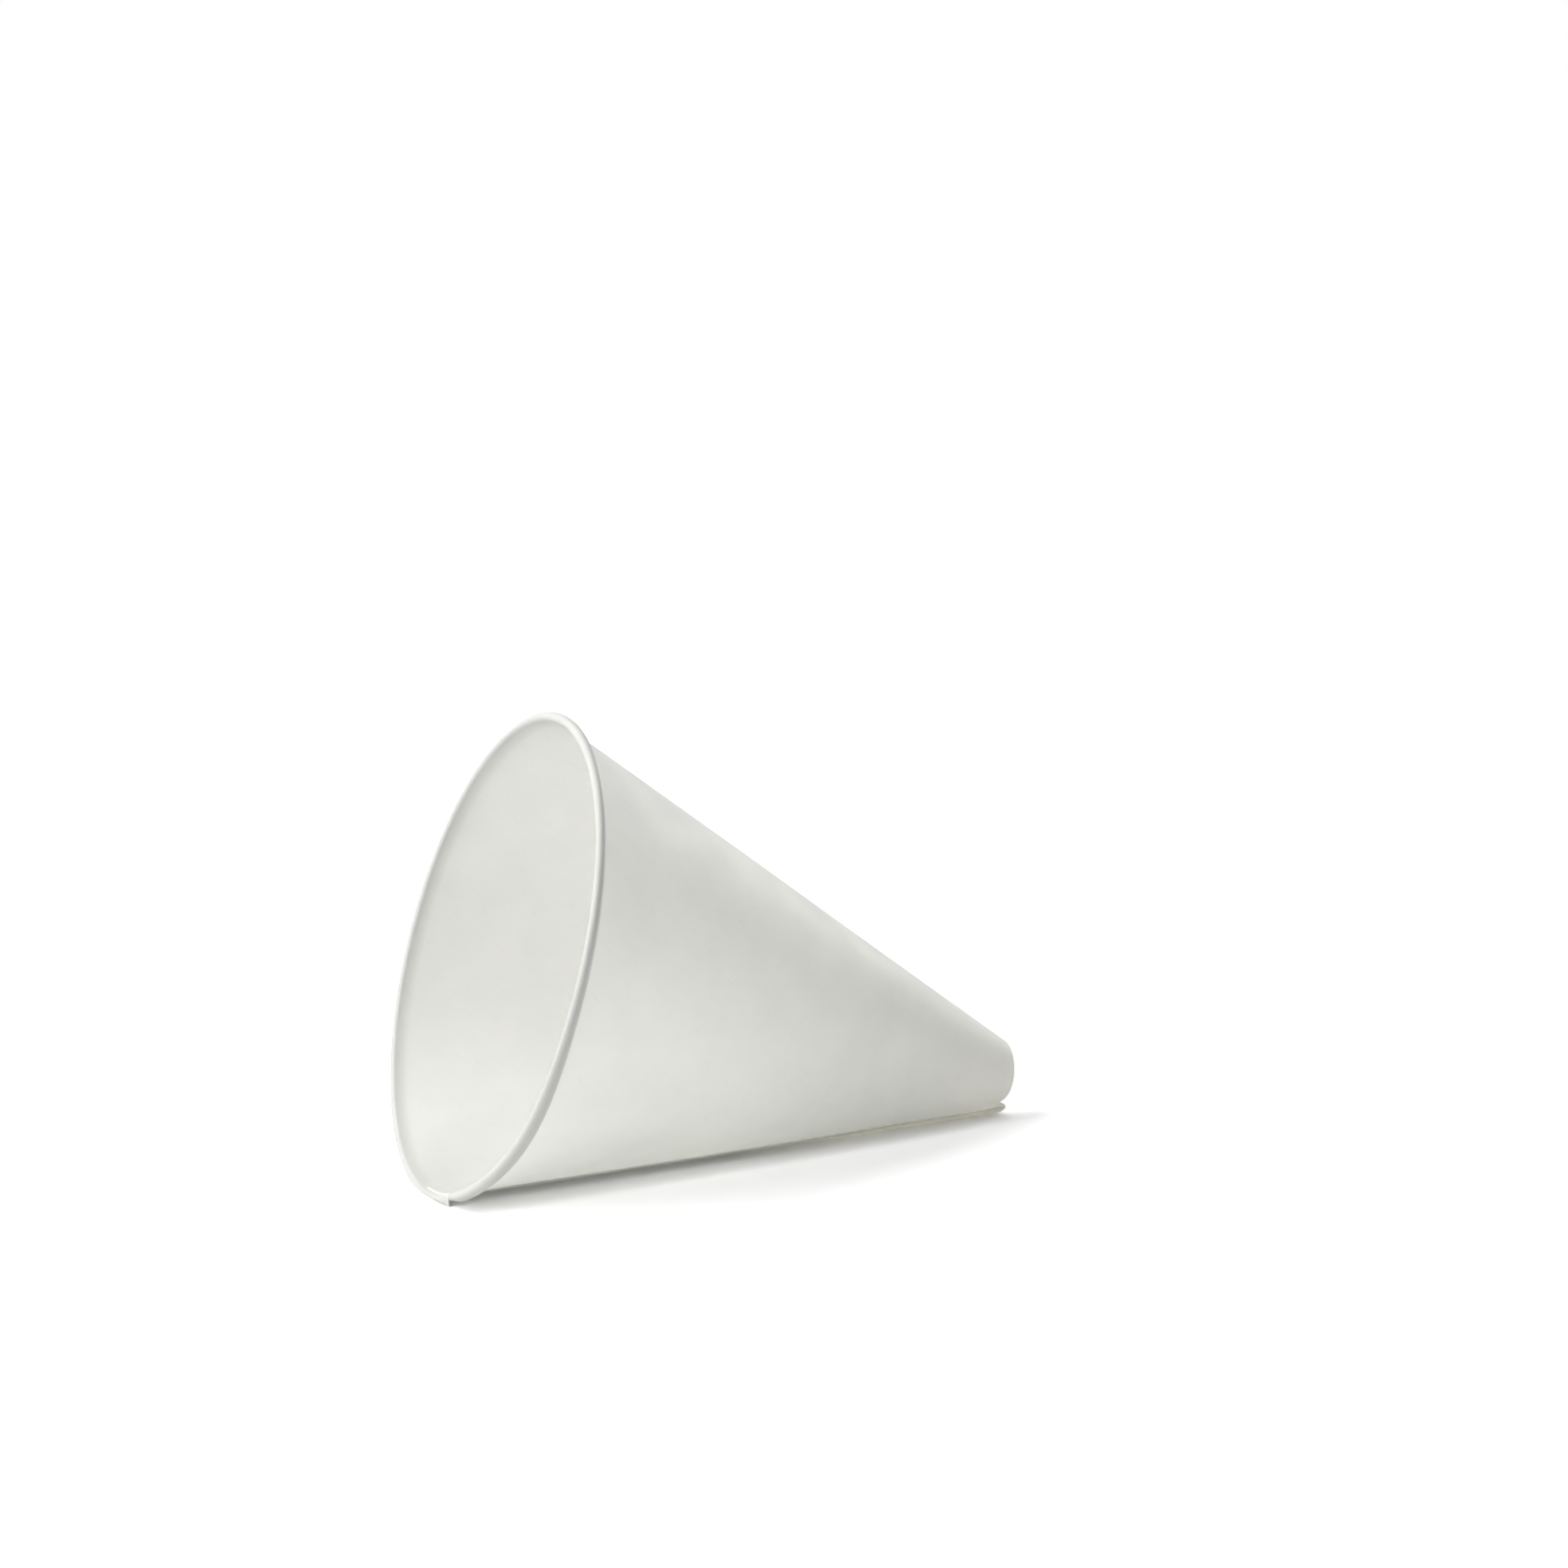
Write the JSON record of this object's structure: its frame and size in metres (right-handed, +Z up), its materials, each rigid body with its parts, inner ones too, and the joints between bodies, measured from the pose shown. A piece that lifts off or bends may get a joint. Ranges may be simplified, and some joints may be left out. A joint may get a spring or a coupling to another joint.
{
  "type": "paper funnel",
  "caption": "Cone of paper with a rolled rim, a glued side lap and a cut-off tip, lying on its side; it guides liquid or powder from the wide mouth to the narrow outlet.",
  "frame": {"origin": "on the surface that the funnel lies on, under the middle of its length and width", "axes": "+X from the mouth to the tip along the surface, +Z up"},
  "size_m": [0.1218, 0.0952, 0.0888],
  "materials": {
    "paper": "smooth bleached paper, lightly waxed, matt off-white"
  },
  "bodies": {
    "root": {"paper_cone": "paper"}
  },
  "joints": []
}
